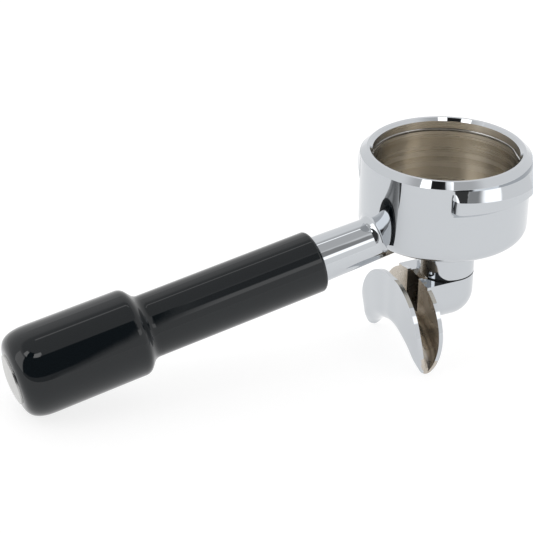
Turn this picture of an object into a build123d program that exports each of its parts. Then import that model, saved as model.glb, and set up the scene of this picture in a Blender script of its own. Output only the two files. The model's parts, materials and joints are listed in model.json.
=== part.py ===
from build123d import *
from math import cos, pi, radians, sin
import os

# Two-cup portafilter. Origin: centre of the cup's mouth, on the rim plane. +Z up, +X towards the knob.
# Millimetres and degrees throughout.

# Cup
mouth_r = 30.25            # bore that takes a 58 mm class filter basket
mouth_chamfer = 1.14       # eases the bore's upper edge
rim_land = 1.2             # narrow flat ring left between the chamfer and the bevel
cup_r = 35.2
bevel_drop = 2.3
cup_height = 36.3
cup_depth = 32.0
floor_fillet = 2.0
bottom_fillet = 5.1
drain_r = 4.8

# Groove and wire ring that hold the basket
groove_z = -5.0
groove_width = 1.5
groove_depth = 1.5
wire_r = 0.6
wire_clearance = 0.15      # between the pressed-back wire and the bore's surface
wire_end_round = 0.2
spring_gap_angle = 24.0
spring_gap_azimuth = 66.0

# Bayonet lugs, measured round the cup from +X
lug_nose_start = 63.5
lug_full_start = 69.5
lug_taper_start = 123.0
lug_end = 156.0
lug_r = 38.7
lug_top_z = -2.7
lug_shoulder_z = -6.4
lug_foot_z = -11.8
lug_root_z = -14.4
lug_ledge = 0.7            # width of the flat top beyond the cup, at the lead
lug_ledge_growth = 0.6
lug_top_lead = 1.2         # drop of the top from lead to tail
lug_shoulder_lead = 3.6    # drop of the shoulder's lower edge from lead to tail
lug_tail_share = 0.06      # what is left of the height at the tail
lug_sink = 2.0             # how deep the lug's root reaches into the cup's wall
lug_foot_sink = 0.1
nose_sections = 6
nose_start_share = 0.1     # where the nose's first section stands, as a share of a step
tail_sections = 13

# Threaded outlet boss under the cup, a little behind the cup's axis
boss_x = -2.9
boss_r = 12.2
boss_end_z = -56.2
thread_r = 8.33            # G 3/8 major diameter 16.66
thread_root_r = 7.48
thread_pitch = 1.337
thread_clearance = 0.04
thread_depth = 12.0

# Seal
seal_thickness = 0.6
seal_r = 11.2
seal_bore_r = 8.43

# Spout
ledge_z = boss_end_z - seal_thickness
spigot_length = 9.3
spigot_chamfer = 0.8
spigot_sink = 1.0
ring_overshoot = 0.1       # thread rings are cut from just outside the spigot
outlet_r = 5.0
hub_centre_z = -65.4
chamber_r = 7.4
chamber_top_z = -60.0
chamber_floor_z = -73.0
slot_half_width = 4.8
slot_floor_z = -72.3
slot_mouth_x = 13.0
slot_headroom = 4.0
seat_r = 11.2
trough_near_x = 10.8       # outside of the wall beside the hub
trough_far_x = 24.0        # outside of the wall beside the handle
trough_wall = 1.9
trough_headroom = 8.0
bulge_share = 0.55         # greatest share of a section's depth taken by its rounded keel
inset_share = 0.42         # greatest share of a section's width or depth taken by a wall

# Handle: one straight axis, tilted down from the cup
tilt = 9.94
axis_z = -28.8             # height of the handle's axis at the cup's axis
root_s = 25.0              # distances "s" run along the handle's axis
neck_root_r = 8.9
neck_end_r = 9.67
neck_root_fillet = 3.0
grip_start_s = 60.4
neck_chamfer = 0.7
tang_r = 7.0
tang_flats = 11.0
tang_length = 17.0
tang_end_gap = 0.5
tapped_hole_end_s = 48.0
bolt_r = 4.0
bolt_tip_s = 52.0
bolt_tip_chamfer = 1.0
bolt_clearance_r = 4.4

grip_r = 12.92
grip_front_round = 1.65
shoulder_start_s = 134.3
shoulder_end_s = 142.5
knob_front_r = 17.84
knob_r = 18.04
knob_round_s = 179.9
grip_end_s = 191.4
end_face_r = 10.3
pocket_r = 8.6
pocket_floor_s = 167.0

washer_r = 8.3
washer_bore_r = 4.2
washer_thickness = 1.6
lock_washer_r = 7.0
lock_washer_bore_r = 4.1
lock_washer_thickness = 2.0
lock_washer_gap = 1.2
head_r = 6.5
head_height = 8.0
head_chamfer = 0.6
hex_across_flats = 6.0
hex_depth = 4.0
cap_r = 10.1
cap_rim = 0.7
cap_dome = 1.4
cap_skirt_length = 7.0
cap_skirt_wall = 0.8
fit_gap = 0.03

os.makedirs("parts", exist_ok=True)

handle_origin = Vector(0, 0, axis_z)
handle_direction = Vector(cos(radians(tilt)), 0, -sin(radians(tilt)))
handle_axis = Axis(handle_origin, handle_direction)
# Profiles of handle pieces: local x runs along the handle, local y away from its axis.
handle_profile = Plane(handle_origin, x_dir=handle_direction, z_dir=Vector(0, -1, 0))
boss_axis = Axis((boss_x, 0, 0), (0, 0, 1))
boss_profile = Plane(origin=(boss_x, 0, 0), x_dir=(1, 0, 0), z_dir=(0, -1, 0))


def handle_section(s):
    """Plane across the handle at distance s, with local x along +Y."""
    origin = handle_origin + handle_direction * s
    return Plane(origin, x_dir=Vector(0, 1, 0), z_dir=handle_direction)


def cup_section(azimuth):
    """Radial half-plane through the cup's axis: local x outwards, local y up."""
    across = Vector(cos(radians(azimuth)), sin(radians(azimuth)), 0)
    return Plane((0, 0, 0), x_dir=across, z_dir=across.cross(Vector(0, 0, 1)))


def lug_stations():
    """Azimuth and fullness of each lug section: a ramped nose, a full stretch and an easing tail."""
    stations = []
    for step in range(nose_sections):
        share = (step + nose_start_share) / nose_sections
        azimuth = lug_nose_start + (lug_full_start - lug_nose_start) * share
        stations.append((azimuth, sin(pi / 2 * share)))
    for step in range(tail_sections):
        azimuth = lug_full_start + (lug_end - lug_full_start) * step / (tail_sections - 1)
        fade = max(0, (azimuth - lug_taper_start) / (lug_end - lug_taper_start))
        stations.append((azimuth, lug_tail_share + (1 - lug_tail_share) * (1 + cos(pi * fade)) / 2))
    return stations


def lug_outline(azimuth, full):
    """Section of a bayonet lug: flat top, wide sloping shoulder, upright face and sloping foot."""
    along = max(0, (azimuth - lug_full_start) / (lug_end - lug_full_start))
    top_z = lug_top_z - lug_top_lead * along
    ledge = cup_r + (lug_ledge + lug_ledge_growth * along) * full
    face = cup_r + (lug_r - cup_r) * full
    return [
        (cup_r - lug_sink, top_z),
        (ledge, top_z),
        (face, lug_shoulder_z - lug_shoulder_lead * along),
        (face, lug_foot_z),
        (cup_r - lug_foot_sink, lug_root_z),
        (cup_r - lug_sink, lug_root_z),
    ]


# Body: cup, lugs, outlet boss and handle neck in one casting
with BuildPart() as portafilter_body:
    with BuildSketch(Plane.XZ):
        with BuildLine():
            Polyline(
                (0, -cup_height),
                (cup_r, -cup_height),
                (cup_r, -bevel_drop),
                (mouth_r + mouth_chamfer + rim_land, 0),
                (0, 0),
                close=True,
            )
        make_face()
        fillet(vertices().group_by(Axis.Y)[0].sort_by(Axis.X)[-1], bottom_fillet)
    revolve(axis=Axis.Z)

    with BuildSketch(handle_profile):
        with BuildLine():
            start = (root_s - neck_root_r, 0)
            crown = (root_s - neck_root_r * sin(pi / 4), neck_root_r * cos(pi / 4))
            shoulder = (root_s, neck_root_r)
            ThreePointArc(start, crown, shoulder)
            Polyline(
                shoulder,
                (grip_start_s - neck_chamfer, neck_end_r),
                (grip_start_s, neck_end_r - neck_chamfer),
                (grip_start_s, 0),
                start,
            )
        make_face()
    revolve(axis=handle_axis)
    root_edges = portafilter_body.edges().filter_by(
        lambda edge: edge.geom_type not in (GeomType.LINE, GeomType.CIRCLE)
    )
    fillet(root_edges, neck_root_fillet)

    for lug_turn in (0, 180):
        with BuildPart(mode=Mode.PRIVATE) as lug:
            for azimuth, full in lug_stations():
                with BuildSketch(cup_section(azimuth)):
                    with BuildLine():
                        Polyline(*lug_outline(azimuth, full), close=True)
                    make_face()
            loft()
        add(lug.part.rotate(Axis.Z, lug_turn))

    with BuildSketch(Plane.XY.offset(boss_end_z)):
        with Locations((boss_x, 0)):
            Circle(boss_r)
    extrude(amount=-boss_end_z - (cup_height + cup_depth) / 2)

    with BuildSketch(handle_section(grip_start_s)):
        Circle(tang_r)
        Rectangle(3 * tang_r, tang_flats, mode=Mode.INTERSECT)
    extrude(amount=tang_length)

    # Hollows
    with BuildSketch(Plane.XZ):
        Rectangle(mouth_r, cup_depth, align=(Align.MIN, Align.MAX))
        fillet(vertices().group_by(Axis.Y)[0].sort_by(Axis.X)[-1], floor_fillet)
        Polygon(
            (mouth_r, -mouth_chamfer),
            (mouth_r + mouth_chamfer, 0),
            (mouth_r - mouth_chamfer, 0),
            align=None,
        )
        with Locations((mouth_r, groove_z)):
            Rectangle(2 * groove_depth, groove_width)
    revolve(axis=Axis.Z, mode=Mode.SUBTRACT)
    with BuildSketch(Plane.XY.offset(boss_end_z)):
        with Locations((boss_x, 0)):
            Circle(drain_r)
    extrude(amount=-boss_end_z - cup_depth / 2, mode=Mode.SUBTRACT)
    with BuildSketch(Plane.XY.offset(boss_end_z)):
        with Locations((boss_x, 0)):
            Circle(thread_r + thread_clearance)
    extrude(amount=thread_depth, mode=Mode.SUBTRACT)
    with BuildSketch(handle_section(tapped_hole_end_s)):
        Circle(bolt_r + fit_gap)
    extrude(amount=grip_start_s + tang_length - tapped_hole_end_s, mode=Mode.SUBTRACT)
portafilter_body.part.label = "portafilter_body"
export_step(portafilter_body.part, "parts/portafilter_body.step")


# Open ring of spring wire, pressed back into its groove as a basket holds it
with BuildPart() as retaining_spring:
    with BuildSketch(cup_section(spring_gap_azimuth + spring_gap_angle / 2)):
        with Locations((mouth_r + wire_r + wire_clearance, groove_z)):
            Circle(wire_r)
    revolve(axis=Axis.Z, revolution_arc=spring_gap_angle - 360)
    fillet(retaining_spring.edges(), wire_end_round)
retaining_spring.part.label = "retaining_spring"
export_step(retaining_spring.part, "parts/retaining_spring.step")


# Sealing washer between the boss and the spout
with BuildPart() as spout_gasket:
    with BuildSketch(Plane.XY.offset(ledge_z + fit_gap)):
        with Locations((boss_x, 0)):
            Circle(seal_r)
            Circle(seal_bore_r, mode=Mode.SUBTRACT)
    extrude(amount=seal_thickness - 2 * fit_gap)
spout_gasket.part.label = "spout_gasket"
export_step(spout_gasket.part, "parts/spout_gasket.step")


# Spout: threaded hub with an outlet slot, opening into a trough with two drooping horns.
# Each horn station: keel point, far rim point, drop of the near rim, near x and far x.
horn_stations = [
    ((0.0, -79.2), (0.0, -54.9), 1.6, trough_near_x, trough_far_x),
    ((8.0, -80.8), (10.5, -56.4), 1.0, trough_near_x, trough_far_x),
    ((14.0, -83.6), (18.0, -61.6), 0.7, trough_near_x, trough_far_x),
    ((18.2, -86.6), (22.6, -68.2), 0.6, 11.0, 23.9),
    ((20.4, -88.6), (24.9, -75.5), 0.6, 11.4, 23.4),
    ((21.6, -90.0), (25.2, -81.5), 0.5, 12.2, 22.4),
    ((22.4, -91.0), (24.6, -86.6), 0.3, 13.6, 21.0),
    ((22.9, -91.6), (23.9, -89.6), 0.0, 15.6, 19.0),
]


def horn_plane(keel, rim, side):
    """Section plane through a station: local x along +X, local y from the keel to the rim."""
    rise = Vector(0, side * (rim[0] - keel[0]), rim[1] - keel[1])
    origin = Vector(0, side * keel[0], keel[1])
    return Plane(origin, x_dir=Vector(1, 0, 0), z_dir=Vector(1, 0, 0).cross(rise))


def horn_loft(inset, headroom):
    """Solid trough, or with an inset and headroom the space inside it."""
    with BuildPart(mode=Mode.PRIVATE) as trough:
        stations = [(-1, station) for station in reversed(horn_stations[1:])]
        stations += [(1, station) for station in horn_stations]
        for side, (keel, rim, rim_drop, near_x, far_x) in stations:
            depth = (Vector(*rim) - Vector(*keel)).length
            side_wall = min(inset, inset_share * (far_x - near_x))
            left = near_x + side_wall
            right = far_x - side_wall
            bottom = min(inset, inset_share * depth)
            radius = (right - left) / 2
            bulge = min(radius, bulge_share * depth)
            with BuildSketch(horn_plane(keel, rim, side)):
                with BuildLine():
                    centre = ((left + right) / 2, bottom + bulge)
                    EllipticalCenterArc(centre, radius, bulge, start_angle=180, arc_size=180)
                    Polyline(
                        (right, bottom + bulge),
                        (right, depth + headroom),
                        (left, depth - rim_drop + headroom),
                        (left, bottom + bulge),
                    )
                make_face()
        loft()
    return trough.part


with BuildPart() as double_spout:
    with BuildSketch(boss_profile):
        with BuildLine():
            hub_bottom = (0, hub_centre_z - boss_r)
            hub_side = (boss_r, hub_centre_z)
            RadiusArc(hub_bottom, hub_side, -boss_r)
            Polyline(hub_side, (boss_r, ledge_z), (0, ledge_z), hub_bottom)
        make_face()
    revolve(axis=boss_axis)
    # Flat-sided bridge from the hub to the trough
    with BuildSketch(Plane.YZ.offset(boss_x)):
        with BuildLine():
            left_side = (-boss_r, hub_centre_z)
            right_side = (boss_r, hub_centre_z)
            ThreePointArc(left_side, (0, hub_centre_z - boss_r), right_side)
            Polyline(right_side, (boss_r, ledge_z), (-boss_r, ledge_z), left_side)
        make_face()
    extrude(amount=trough_near_x + trough_wall - boss_x)
    add(horn_loft(0, 0))
    # Spigot with ring grooves in place of its screw thread
    with BuildSketch(boss_profile):
        spigot_top = ledge_z + spigot_length
        with BuildLine():
            Polyline(
                (0, ledge_z - spigot_sink),
                (thread_r, ledge_z - spigot_sink),
                (thread_r, spigot_top - spigot_chamfer),
                (thread_r - spigot_chamfer, spigot_top),
                (0, spigot_top),
                close=True,
            )
        make_face()
        for turn in range(1, int(spigot_length / thread_pitch)):
            with Locations((thread_r, ledge_z + turn * thread_pitch)):
                Polygon(
                    (ring_overshoot, -thread_pitch / 2),
                    (ring_overshoot, thread_pitch / 2),
                    (thread_root_r - thread_r, 0),
                    align=None,
                    mode=Mode.SUBTRACT,
                )
    revolve(axis=boss_axis)

    # Hollows: bore, chamber, slot and trough
    with BuildSketch(boss_profile):
        Rectangle(outlet_r, -chamber_top_z, align=(Align.MIN, Align.MIN))
        with Locations((0, chamber_top_z)):
            Rectangle(chamber_r, chamber_top_z - chamber_floor_z, align=(Align.MIN, Align.MAX))
    revolve(axis=boss_axis, mode=Mode.SUBTRACT)
    with BuildSketch(Plane.XZ):
        with BuildLine():
            Polyline(
                (boss_x, slot_floor_z),
                (slot_mouth_x, slot_floor_z),
                (slot_mouth_x, ledge_z + slot_headroom),
                (boss_x + seat_r, ledge_z + slot_headroom),
                (boss_x + seat_r, chamber_top_z),
                (boss_x, chamber_top_z),
                close=True,
            )
        make_face()
    extrude(amount=slot_half_width, both=True, mode=Mode.SUBTRACT)
    add(horn_loft(trough_wall, trough_headroom), mode=Mode.SUBTRACT)
double_spout.part.label = "double_spout"
export_step(double_spout.part, "parts/double_spout.step")


# Grip: one hollow moulding that swells into a knob
with BuildPart() as handle_grip:
    with BuildSketch(handle_profile):
        with BuildLine():
            front = (grip_start_s, 0)
            neck_edge = (grip_start_s, grip_r)
            swell_start = (shoulder_start_s, grip_r)
            swell_end = (shoulder_end_s, knob_front_r)
            round_start = (knob_round_s, knob_r)
            round_end = (grip_end_s, end_face_r)
            knob_run = (knob_round_s - shoulder_end_s, knob_r - knob_front_r)
            Polyline(front, neck_edge, swell_start)
            Spline(swell_start, swell_end, tangents=((1, 0), knob_run))
            Line(swell_end, round_start)
            Spline(round_start, round_end, tangents=(knob_run, (0, -1)))
            Polyline(round_end, (grip_end_s, 0), front)
        make_face()
        fillet(vertices().group_by(Axis.X)[0].sort_by(Axis.Y)[-1], grip_front_round)
    revolve(axis=handle_axis)
    with BuildSketch(handle_profile):
        Rectangle(grip_end_s + cap_rim, bolt_clearance_r, align=(Align.MIN, Align.MIN))
        with Locations((pocket_floor_s, 0)):
            Rectangle(grip_end_s, pocket_r, align=(Align.MIN, Align.MIN))
    revolve(axis=handle_axis, mode=Mode.SUBTRACT)
    with BuildSketch(handle_section(grip_start_s)):
        Circle(tang_r + fit_gap)
        Rectangle(3 * tang_r, tang_flats + 2 * fit_gap, mode=Mode.INTERSECT)
    extrude(amount=tang_length + tang_end_gap, mode=Mode.SUBTRACT)
handle_grip.part.label = "handle_grip"
export_step(handle_grip.part, "parts/handle_grip.step")


# Bolt, washers and cap in the knob
head_s = pocket_floor_s + washer_thickness + lock_washer_thickness
with BuildPart() as tie_bolt:
    with BuildSketch(handle_profile):
        with BuildLine():
            Polyline(
                (bolt_tip_s, 0),
                (bolt_tip_s, bolt_r - bolt_tip_chamfer),
                (bolt_tip_s + bolt_tip_chamfer, bolt_r),
                (head_s, bolt_r),
                (head_s, head_r),
                (head_s + head_height, head_r),
                (head_s + head_height, 0),
                close=True,
            )
        make_face()
        chamfer(vertices().group_by(Axis.X)[-1].sort_by(Axis.Y)[-1], head_chamfer)
    revolve(axis=handle_axis)
    with BuildSketch(handle_section(head_s + head_height - hex_depth)):
        RegularPolygon(hex_across_flats / 2, 6, major_radius=False)
    extrude(amount=hex_depth, mode=Mode.SUBTRACT)
tie_bolt.part.label = "tie_bolt"
export_step(tie_bolt.part, "parts/tie_bolt.step")

with BuildPart() as flat_washer:
    with BuildSketch(handle_section(pocket_floor_s)):
        Circle(washer_r)
        Circle(washer_bore_r, mode=Mode.SUBTRACT)
    extrude(amount=washer_thickness)
flat_washer.part.label = "flat_washer"
export_step(flat_washer.part, "parts/flat_washer.step")

with BuildPart() as spring_washer:
    with BuildSketch(handle_section(pocket_floor_s + washer_thickness)):
        Circle(lock_washer_r)
        Circle(lock_washer_bore_r, mode=Mode.SUBTRACT)
        with Locations((lock_washer_r, 0)):
            Rectangle(lock_washer_r, lock_washer_gap, mode=Mode.SUBTRACT)
    extrude(amount=lock_washer_thickness)
spring_washer.part.label = "spring_washer"
export_step(spring_washer.part, "parts/spring_washer.step")

with BuildPart() as end_cap:
    with BuildSketch(handle_profile):
        with BuildLine():
            skirt_r = pocket_r - fit_gap
            rim_top = (grip_end_s + cap_rim, cap_r)
            crown = (grip_end_s + cap_rim + cap_dome, 0)
            dome_radius = (cap_r**2 + cap_dome**2) / (2 * cap_dome)
            RadiusArc(rim_top, crown, dome_radius)
            Polyline(
                crown,
                (grip_end_s, 0),
                (grip_end_s, skirt_r - cap_skirt_wall),
                (grip_end_s - cap_skirt_length, skirt_r - cap_skirt_wall),
                (grip_end_s - cap_skirt_length, skirt_r),
                (grip_end_s, skirt_r),
                (grip_end_s, cap_r),
                rim_top,
            )
        make_face()
    revolve(axis=handle_axis)
end_cap.part.label = "end_cap"
export_step(end_cap.part, "parts/end_cap.step")
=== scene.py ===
import bpy
import json
import math
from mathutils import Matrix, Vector


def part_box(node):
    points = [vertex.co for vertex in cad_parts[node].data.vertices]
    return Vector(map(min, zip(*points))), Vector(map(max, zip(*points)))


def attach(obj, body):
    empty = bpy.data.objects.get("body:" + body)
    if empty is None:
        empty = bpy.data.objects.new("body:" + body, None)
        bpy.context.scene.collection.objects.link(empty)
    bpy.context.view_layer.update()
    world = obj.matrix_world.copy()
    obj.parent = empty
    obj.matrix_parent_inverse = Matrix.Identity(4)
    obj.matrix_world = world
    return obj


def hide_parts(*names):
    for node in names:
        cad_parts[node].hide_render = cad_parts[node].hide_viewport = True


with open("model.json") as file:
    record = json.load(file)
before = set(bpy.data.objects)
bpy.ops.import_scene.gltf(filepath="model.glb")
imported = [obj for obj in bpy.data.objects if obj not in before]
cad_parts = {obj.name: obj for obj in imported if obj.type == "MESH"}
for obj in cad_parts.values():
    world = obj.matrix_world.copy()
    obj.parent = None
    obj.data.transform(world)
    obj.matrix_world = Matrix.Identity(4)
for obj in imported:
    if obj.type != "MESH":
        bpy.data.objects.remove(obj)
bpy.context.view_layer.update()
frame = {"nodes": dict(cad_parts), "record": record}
nodes = frame["nodes"]
mounts = {mount["name"]: mount for mount in frame["record"]["mounts"]}
print("frame loaded:", len(nodes), "nodes")

# where the camera stands round the cup, how far off, and what it looks at (degrees, metres)
cameraLook = {
    "azimuth": 65.31,
    "elevation": 28.63,
    "distance": 0.650,
    "aim": (0.0767, -0.0096, -0.0427),
    "lens": 107.17,
    "nearest": 0.01,
}


def towards(azimuth, elevation):
    a, e = math.radians(azimuth), math.radians(elevation)
    return Vector((math.cos(a) * math.cos(e), math.sin(a) * math.cos(e), math.sin(e)))


def addCamera(look):
    data = bpy.data.cameras.new("camera")
    data.lens = look["lens"]
    data.clip_start = look["nearest"]
    camera = bpy.data.objects.new("camera", data)
    bpy.context.collection.objects.link(camera)
    back = towards(look["azimuth"], look["elevation"])
    camera.location = Vector(look["aim"]) + back * look["distance"]
    camera.rotation_euler = (-back).to_track_quat("-Z", "Y").to_euler()
    bpy.context.scene.camera = camera


addCamera(cameraLook)
bpy.context.scene.view_settings.view_transform = "Standard"
print("camera set")


# short ways to add, link and chain nodes, in shader and geometry trees alike
class Tree:
    def __init__(self, tree):
        self.tree = tree

    def add(self, kind, inputs=None, **settings):
        node = self.tree.nodes.new(kind)
        for name, value in settings.items():
            setattr(node, name, value)
        for key, value in (inputs or {}).items():
            self.feed(value, node.inputs[key])
        return node

    def feed(self, value, socket):
        if isinstance(value, bpy.types.NodeSocket):
            self.tree.links.new(value, socket)
        else:
            socket.default_value = value

    def math(self, operation, *values, clamp=False):
        node = self.add("ShaderNodeMath", operation=operation, use_clamp=clamp)
        for value, socket in zip(values, node.inputs):
            self.feed(value, socket)
        return node.outputs[0]

    def ramp(self, value, start, end, low=0.0, high=1.0):
        inputs = {"Value": value, "From Min": start, "From Max": end, "To Min": low, "To Max": high}
        return self.add("ShaderNodeMapRange", inputs, interpolation_type="SMOOTHSTEP").outputs["Result"]

    def blend(self, share, a, b):
        node = self.add("ShaderNodeMix", data_type="RGBA")
        self.feed(share, node.inputs["Factor"])
        colors = [socket for socket in node.inputs if socket.type == "RGBA"]
        self.feed(a, colors[0])
        self.feed(b, colors[1])
        return [socket for socket in node.outputs if socket.type == "RGBA"][0]

    def noise(self, place, scale, detail=3.0, roughness=0.5):
        inputs = {"Vector": place, "Scale": scale, "Detail": detail, "Roughness": roughness}
        return self.add("ShaderNodeTexNoise", inputs).outputs["Fac"]

    def bump(self, height, strength, distance):
        inputs = {"Height": height, "Strength": strength, "Distance": distance}
        return self.add("ShaderNodeBump", inputs).outputs["Normal"]


# light from all round, seen mostly as reflections; a later panel covers an earlier one
studioLook = {
    "backdrop": 1.0,
    "ceiling": 0.64,
    "ceilingFrom": 60.0,       # elevation where the backdrop ends
    "ceilingEdge": 5.0,
    "edge": 1.5,               # softness of every panel's border, in degrees
    "panels": [                # azimuth, elevation, half width, half height, brightness
        (59.0, 28.0, 39.0, 34.0, 0.06),    # dark gap that the camera stands in
        (59.0, 4.0, 39.0, 8.0, 0.45),      # paler foot of the gap
        (106.0, 47.0, 8.0, 11.0, 0.35),
        (118.0, 28.5, 18.0, 6.0, 1.9),     # low strip light
        (43.0, 67.0, 21.0, 6.0, 0.02),     # black flag between the soft boxes
        (72.0, 66.0, 11.0, 5.0, 3.2),      # soft boxes
        (15.0, 65.0, 10.5, 6.0, 3.2),
        (0.0, 32.0, 18.0, 22.0, 2.0),      # window beyond the knob
        (248.0, 72.0, 30.0, 1.2, 2.2),     # lamp tube overhead
    ],
}


def offFrom(tree, azimuth, middle):
    turned = tree.math("SUBTRACT", azimuth, middle)
    return tree.math("ABSOLUTE", tree.math("WRAP", turned, 180.0, -180.0))


def addStudio(look):
    world = bpy.data.worlds.new("studio")
    bpy.context.scene.world = world
    world.use_nodes = True
    tree = Tree(world.node_tree)
    place = tree.add("ShaderNodeTexCoord").outputs["Generated"]
    axes = tree.add("ShaderNodeSeparateXYZ", {"Vector": place}).outputs
    azimuth = tree.math("DEGREES", tree.math("ARCTAN2", axes["Y"], axes["X"]))
    elevation = tree.math("DEGREES", tree.math("ARCSINE", axes["Z"]))
    edge, turn, turnEdge = look["edge"], look["ceilingFrom"], look["ceilingEdge"]
    light = tree.ramp(elevation, turn - turnEdge, turn + turnEdge, look["backdrop"], look["ceiling"])
    for azimuthAt, elevationAt, halfWidth, halfHeight, brightness in look["panels"]:
        side = tree.ramp(offFrom(tree, azimuth, azimuthAt), halfWidth + edge, halfWidth - edge)
        rise = tree.math("ABSOLUTE", tree.math("SUBTRACT", elevation, elevationAt))
        rise = tree.ramp(rise, halfHeight + edge, halfHeight - edge)
        change = tree.math("SUBTRACT", brightness, light)
        light = tree.math("MULTIPLY_ADD", tree.math("MULTIPLY", side, rise), change, light)
    background = world.node_tree.nodes["Background"].inputs
    background["Color"].default_value = (1, 1, 1, 1)
    tree.feed(light, background["Strength"])


addStudio(studioLook)
print("studio lit")


# white paper that the horns' tips and the knob both rest on, so it leans with the handle
floorLook = {
    "reach": 40.0,
    "glow": 0.80,
    "paper": 0.30,
    "roughness": 0.9,
    "sheen": 0.1,
    "gap": 0.0001,
}


def addFloor(look):
    tip = min((vertex.co for vertex in nodes["double_spout"].data.vertices), key=lambda place: place.z)
    knob = [vertex.co for vertex in nodes["handle_grip"].data.vertices]
    slope = min((place.z - tip.z) / (place.x - tip.x) for place in knob)
    corners = []
    for x, y in ((-1, -1), (1, -1), (1, 1), (-1, 1)):
        x, y = x * look["reach"], y * look["reach"]
        corners.append((x, y, tip.z + slope * (x - tip.x) - look["gap"]))
    mesh = bpy.data.meshes.new("floor")
    mesh.from_pydata(corners, [], [(0, 1, 2, 3)])
    floor = bpy.data.objects.new("floor", mesh)
    bpy.context.collection.objects.link(floor)
    material = bpy.data.materials.new("palePaper")
    material.use_nodes = True
    shader = material.node_tree.nodes["Principled BSDF"].inputs
    shader["Base Color"].default_value = (look["paper"],) * 3 + (1,)
    shader["Roughness"].default_value = look["roughness"]
    shader["Specular IOR Level"].default_value = look["sheen"]
    shader["Emission Color"].default_value = (1, 1, 1, 1)
    shader["Emission Strength"].default_value = look["glow"]
    mesh.materials.append(material)


addFloor(floorLook)
print("floor laid")


def newMaterial(name):
    material = bpy.data.materials.new(name)
    material.use_nodes = True
    return material, Tree(material.node_tree), material.node_tree.nodes["Principled BSDF"].inputs


def objectPlace(tree, scale=(1, 1, 1)):
    place = tree.add("ShaderNodeTexCoord").outputs["Object"]
    return tree.add("ShaderNodeMapping", {"Vector": place, "Scale": scale}).outputs["Vector"]


contrast = (0.3, 0.7)          # part of a noise's range that a finish spreads over


# colour and roughness that wander together with one noise
def mottle(tree, shader, share, low, high, roughness):
    tree.feed(tree.blend(share, low, high), shader["Base Color"])
    tree.feed(tree.ramp(share, *contrast, *roughness), shader["Roughness"])


chromeLook = {
    "color": (0.550, 0.572, 0.598, 1),
    "faded": (0.535, 0.556, 0.580, 1),
    "roughness": (0.02, 0.04),
    "cloudScale": 45.0,
    "rippleScale": 120.0,
    "ripple": 0.012,
    "rippleHeight": 0.001,
}


def chrome(look):
    material, tree, shader = newMaterial("polishedChrome")
    place = objectPlace(tree)
    cloud = tree.noise(place, look["cloudScale"])
    mottle(tree, shader, cloud, look["color"], look["faded"], look["roughness"])
    ripple = tree.noise(place, look["rippleScale"], 1.0)
    tree.feed(tree.bump(ripple, look["ripple"], look["rippleHeight"]), shader["Normal"])
    shader["Metallic"].default_value = 1.0
    return material


boreLook = {
    "color": (0.82, 0.765, 0.68, 1),
    "dark": (0.60, 0.56, 0.485, 1),
    "roughness": (0.20, 0.33),
    "bareness": 0.92,                  # how metallic the unpolished nickel looks
    "streak": 0.9,                     # how far the turning lines draw a highlight out
    "across": 0.25,                    # a quarter turn: along the bore, not round it
    "paintedEdgeShade": (0.10, 0.10, 0.09, 1),  # painted shade: a dark edge tint darkens the bore wall where it is seen edge on
    "lineScale": (6.0, 6.0, 1500.0),   # turning lines run round the bore
    "bandScale": (3.0, 3.0, 260.0),
    "lineDepth": 0.25,
    "lineHeight": 0.0002,
}


def turnedNickel(look):
    material, tree, shader = newMaterial("turnedNickel")
    lines = tree.noise(objectPlace(tree, look["lineScale"]), 1.0, 4.0)
    bands = tree.noise(objectPlace(tree, look["bandScale"]), 1.0, 3.0)
    mottle(tree, shader, bands, look["dark"], look["color"], look["roughness"])
    tree.feed(tree.bump(lines, look["lineDepth"], look["lineHeight"]), shader["Normal"])
    tangent = tree.add("ShaderNodeTangent", direction_type="RADIAL", axis="Z")
    tree.feed(tangent.outputs["Tangent"], shader["Tangent"])
    shader["Metallic"].default_value = look["bareness"]
    shader["Anisotropic"].default_value = look["streak"]
    shader["Anisotropic Rotation"].default_value = look["across"]
    # the dark Specular Tint paints shade onto the bore wall at grazing angles
    shader["Specular Tint"].default_value = look["paintedEdgeShade"]
    return material


castLook = {
    "color": (0.70, 0.65, 0.58, 1),
    "dark": (0.36, 0.32, 0.27, 1),
    "roughness": (0.16, 0.34),
    "bareness": 0.85,
    "brushScale": (60.0, 60.0, 900.0),
    "patchScale": 130.0,
    "brushDepth": 0.2,
    "brushHeight": 0.0003,
}


def brushedNickel(look):
    material, tree, shader = newMaterial("brushedNickel")
    brush = tree.noise(objectPlace(tree, look["brushScale"]), 1.0, 4.0)
    patch = tree.noise(objectPlace(tree), look["patchScale"], 4.0)
    mottle(tree, shader, patch, look["dark"], look["color"], look["roughness"])
    tree.feed(tree.bump(brush, look["brushDepth"], look["brushHeight"]), shader["Normal"])
    shader["Metallic"].default_value = look["bareness"]
    return material


gripLook = {
    "color": (0.003, 0.005, 0.007, 1),
    "worn": (0.005, 0.008, 0.010, 1),
    "roughness": (0.012, 0.03),
    "hazeScale": 30.0,
    "peelScale": 260.0,
    "peel": 0.008,
    "peelHeight": 0.0005,
    "ior": 1.45,
}


def glossBlack(look):
    material, tree, shader = newMaterial("glossBlack")
    place = objectPlace(tree)
    haze = tree.noise(place, look["hazeScale"], 5.0)
    mottle(tree, shader, haze, look["color"], look["worn"], look["roughness"])
    peel = tree.noise(place, look["peelScale"], 2.0)
    tree.feed(tree.bump(peel, look["peel"], look["peelHeight"]), shader["Normal"])
    shader["IOR"].default_value = look["ior"]
    return material


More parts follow.
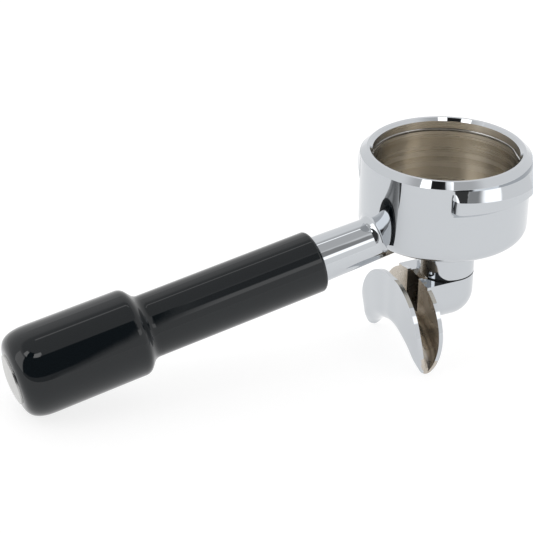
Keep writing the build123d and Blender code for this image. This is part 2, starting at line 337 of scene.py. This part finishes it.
grainHeight = 0.0002
steelLooks = {
    "satinSteel": {"color": (0.62, 0.62, 0.61, 1), "dark": (0.55, 0.55, 0.54, 1),
                   "roughness": (0.28, 0.40), "grain": (40.0, 900.0, 40.0), "depth": 0.25},
    "wireSteel": {"color": (0.60, 0.60, 0.60, 1), "dark": (0.45, 0.45, 0.45, 1),
                  "roughness": (0.12, 0.25), "grain": (300.0, 300.0, 1500.0), "depth": 0.10},
    "zincSteel": {"color": (0.60, 0.61, 0.64, 1), "dark": (0.48, 0.48, 0.46, 1),
                  "roughness": (0.22, 0.45), "grain": (400.0, 400.0, 400.0), "depth": 0.15},
}


def steel(name, look):
    material, tree, shader = newMaterial(name)
    grain = tree.noise(objectPlace(tree, look["grain"]), 1.0, 4.0)
    mottle(tree, shader, grain, look["dark"], look["color"], look["roughness"])
    tree.feed(tree.bump(grain, look["depth"], grainHeight), shader["Normal"])
    shader["Metallic"].default_value = 1.0
    return material


fibreLook = {
    "color": (0.05, 0.05, 0.048, 1),
    "pale": (0.10, 0.095, 0.09, 1),
    "scale": 900.0,
    "roughness": 0.75,
    "depth": 0.4,
}


def fibre(look):
    material, tree, shader = newMaterial("sealFibre")
    fleck = tree.noise(objectPlace(tree), look["scale"], 4.0, 0.7)
    tree.feed(tree.blend(fleck, look["color"], look["pale"]), shader["Base Color"])
    tree.feed(tree.bump(fleck, look["depth"], grainHeight), shader["Normal"])
    shader["Roughness"].default_value = look["roughness"]
    return material


polished = chrome(chromeLook)
turned = turnedNickel(boreLook)
brushed = brushedNickel(castLook)
steels = {name: steel(name, look) for name, look in steelLooks.items()}
print("materials made")


def dress(node, *materials):
    mesh = nodes[node].data
    mesh.materials.clear()
    for material in materials:
        mesh.materials.append(material)
    return mesh


# how far the bare nickel goes past the basket's bore: out into the groove, down to the floor
bodyLook = {"outwards": 0.0018, "downwards": 0.01}


def dressBody(look):
    mesh = dress("portafilter_body", polished, turned)
    bore = mounts["basket_bore"]
    radius = bore["dims"]["r_mm"] / 1000 + look["outwards"]
    top = bore["pos_m"][2]
    bottom = top - bore["dims"]["length_mm"] / 1000 - look["downwards"]
    for face in mesh.polygons:
        place = face.center
        inside = math.hypot(place.x, place.y) < radius and bottom < place.z < top
        face.material_index = int(inside)


# faces reached from the starts over edges that aren't sharp
def smoothPatch(mesh, starts, allowed, sharp):
    faces = mesh.polygons
    sides = {}
    for index in allowed:
        corners = [tuple(round(c, 7) for c in mesh.vertices[i].co) for i in faces[index].vertices]
        for side in zip(corners, corners[1:] + corners[:1]):
            sides.setdefault(frozenset(side), []).append(index)
    neighbours = {}
    for pair in sides.values():
        if len(pair) == 2 and faces[pair[0]].normal.dot(faces[pair[1]].normal) > sharp:
            neighbours.setdefault(pair[0], []).append(pair[1])
            neighbours.setdefault(pair[1], []).append(pair[0])
    patch, edge = set(starts), list(starts)
    while edge:
        for index in neighbours.get(edge.pop(), []):
            if index not in patch:
                patch.add(index)
                edge.append(index)
    return patch


# bare nickel in the trough and the slot, chrome elsewhere; offside 1 is the trough's inner wall
spoutLook = {
    "width": 0.0132,                   # of the trough, outside
    "wall": 0.0019,
    "slotHalfWidth": 0.0049,
    "ledge": 0.0013,
    "sharp": 0.9,                      # cosine of the turn at which the patch ends
    "facing": (0.1, -0.3),             # most outwards along x, least towards the opening
    "edge": 1.03,                      # offside
    "rimFrom": 0.8,                    # offside
    "rimFacing": 0.45,                 # a rim face's normal leans less than this along x
    "keel": (0.4, 0.015, 0.7),         # where the patch starts: offside, reach along y, facing
}


def dressSpout(look):
    mesh = dress("double_spout", polished, brushed)
    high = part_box("double_spout")[1]
    middle = high.x - look["width"] / 2
    reach = look["width"] / 2 - look["wall"]
    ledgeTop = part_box("spout_gasket")[0].z - look["ledge"]
    mostOut, leastOpen = look["facing"]
    keelWidth, keelReach, keelFacing = look["keel"]
    starts, allowed = [], []
    for face in mesh.polygons:
        place, normal = face.center, face.normal
        offside = (place.x - middle) / reach
        outwards = Vector((0, place.y / high.y, 1)).normalized()   # the way the trough opens
        turnedIn = normal.x * offside < mostOut and normal.dot(outwards) > leastOpen
        onRim = abs(offside) > look["rimFrom"] and abs(normal.x) < look["rimFacing"]
        if turnedIn and abs(offside) < look["edge"] and not onRim:
            allowed.append(face.index)
            atKeel = abs(offside) < keelWidth and abs(place.y) < keelReach and normal.z > keelFacing
            if atKeel and place.z < ledgeTop:
                starts.append(face.index)
    inTrough = smoothPatch(mesh, starts, allowed, look["sharp"])
    print("trough:", len(inTrough), "faces in bare nickel")
    for face in mesh.polygons:
        place = face.center
        behind = place.x <= middle - reach and abs(place.y) < look["slotHalfWidth"]
        face.material_index = int(face.index in inTrough or (behind and place.z < ledgeTop))


dressBody(bodyLook)
dressSpout(spoutLook)
dress("handle_grip", glossBlack(gripLook))
dress("end_cap", steels["satinSteel"])
dress("spout_gasket", fibre(fibreLook))
for node in ("tie_bolt", "flat_washer", "spring_washer"):
    dress(node, steels["zincSteel"])
print("CAD pieces finished")


# sprung ring with crimps that press on the basket
wireLook = {
    "Wire Radius": 0.0006,
    "Ring Radius": 0.0310,
    "Height": -0.0050,
    "Start Angle": math.radians(78.0),
    "Sweep Angle": math.radians(336.0),
    "Crimp Depth": 0.0009,
    "Crimps": 2.0,
    "Crimp Share": 0.22,     # part of each wave that bends inwards
}


def wireTree(material):
    group = bpy.data.node_groups.new("basketWire", "GeometryNodeTree")
    group.is_modifier = True
    for name in wireLook:
        group.interface.new_socket(name, in_out="INPUT", socket_type="NodeSocketFloat")
    group.interface.new_socket("Geometry", in_out="OUTPUT", socket_type="NodeSocketGeometry")
    tree = Tree(group)
    sizes = tree.add("NodeGroupInput").outputs
    arc = tree.add("GeometryNodeCurveArc", {
        "Resolution": 240,
        "Radius": sizes["Ring Radius"],
        "Start Angle": sizes["Start Angle"],
        "Sweep Angle": sizes["Sweep Angle"],
    }).outputs["Curve"]
    along = tree.add("GeometryNodeSplineParameter").outputs["Factor"]
    phase = tree.math("FRACT", tree.math("MULTIPLY", along, sizes["Crimps"]))
    nearMiddle = tree.math("ABSOLUTE", tree.math("SUBTRACT", phase, 0.5))
    share = tree.math("MULTIPLY", sizes["Crimp Share"], 0.5)
    crimp = tree.ramp(tree.math("DIVIDE", nearMiddle, share), 1.0, 0.0)
    shrink = tree.math("DIVIDE", tree.math("MULTIPLY", crimp, sizes["Crimp Depth"]), sizes["Ring Radius"])
    place = tree.add("GeometryNodeInputPosition").outputs["Position"]
    inward = tree.add("ShaderNodeVectorMath", {0: place, "Scale": tree.math("MULTIPLY", shrink, -1.0)},
                      operation="SCALE").outputs["Vector"]
    lift = tree.add("ShaderNodeCombineXYZ", {"Z": sizes["Height"]}).outputs["Vector"]
    offset = tree.add("ShaderNodeVectorMath", {0: inward, 1: lift}, operation="ADD").outputs["Vector"]
    bent = tree.add("GeometryNodeSetPosition", {"Geometry": arc, "Offset": offset}).outputs["Geometry"]
    section = tree.add("GeometryNodeCurvePrimitiveCircle", {
        "Resolution": 20,
        "Radius": sizes["Wire Radius"],
    }).outputs["Curve"]
    wire = tree.add("GeometryNodeCurveToMesh", {
        "Curve": bent,
        "Profile Curve": section,
        "Fill Caps": True,
    }).outputs["Mesh"]
    smooth = tree.add("GeometryNodeSetShadeSmooth", {"Geometry": wire}).outputs["Geometry"]
    real = tree.add("GeometryNodeRealizeInstances", {"Geometry": smooth}).outputs["Geometry"]
    painted = tree.add("GeometryNodeSetMaterial", {"Geometry": real, "Material": material})
    tree.add("NodeGroupOutput", {"Geometry": painted.outputs["Geometry"]})
    return group


def grown(name, group, look):
    seed = bpy.data.objects.new(name, bpy.data.meshes.new(name + "Seed"))
    bpy.context.collection.objects.link(seed)
    modifier = seed.modifiers.new("grow", "NODES")
    modifier.node_group = group
    for item in group.interface.items_tree:
        if item.in_out == "INPUT" and item.name in look:
            modifier[item.identifier] = look[item.name]
    depsgraph = bpy.context.evaluated_depsgraph_get()
    mesh = bpy.data.meshes.new_from_object(seed.evaluated_get(depsgraph))
    seed.modifiers.clear()
    seed.data = mesh
    return seed


wire = grown("basket_wire", wireTree(steels["wireSteel"]), wireLook)
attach(wire, "holder")
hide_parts("retaining_spring")
print("basket wire:", len(wire.data.polygons), "faces")
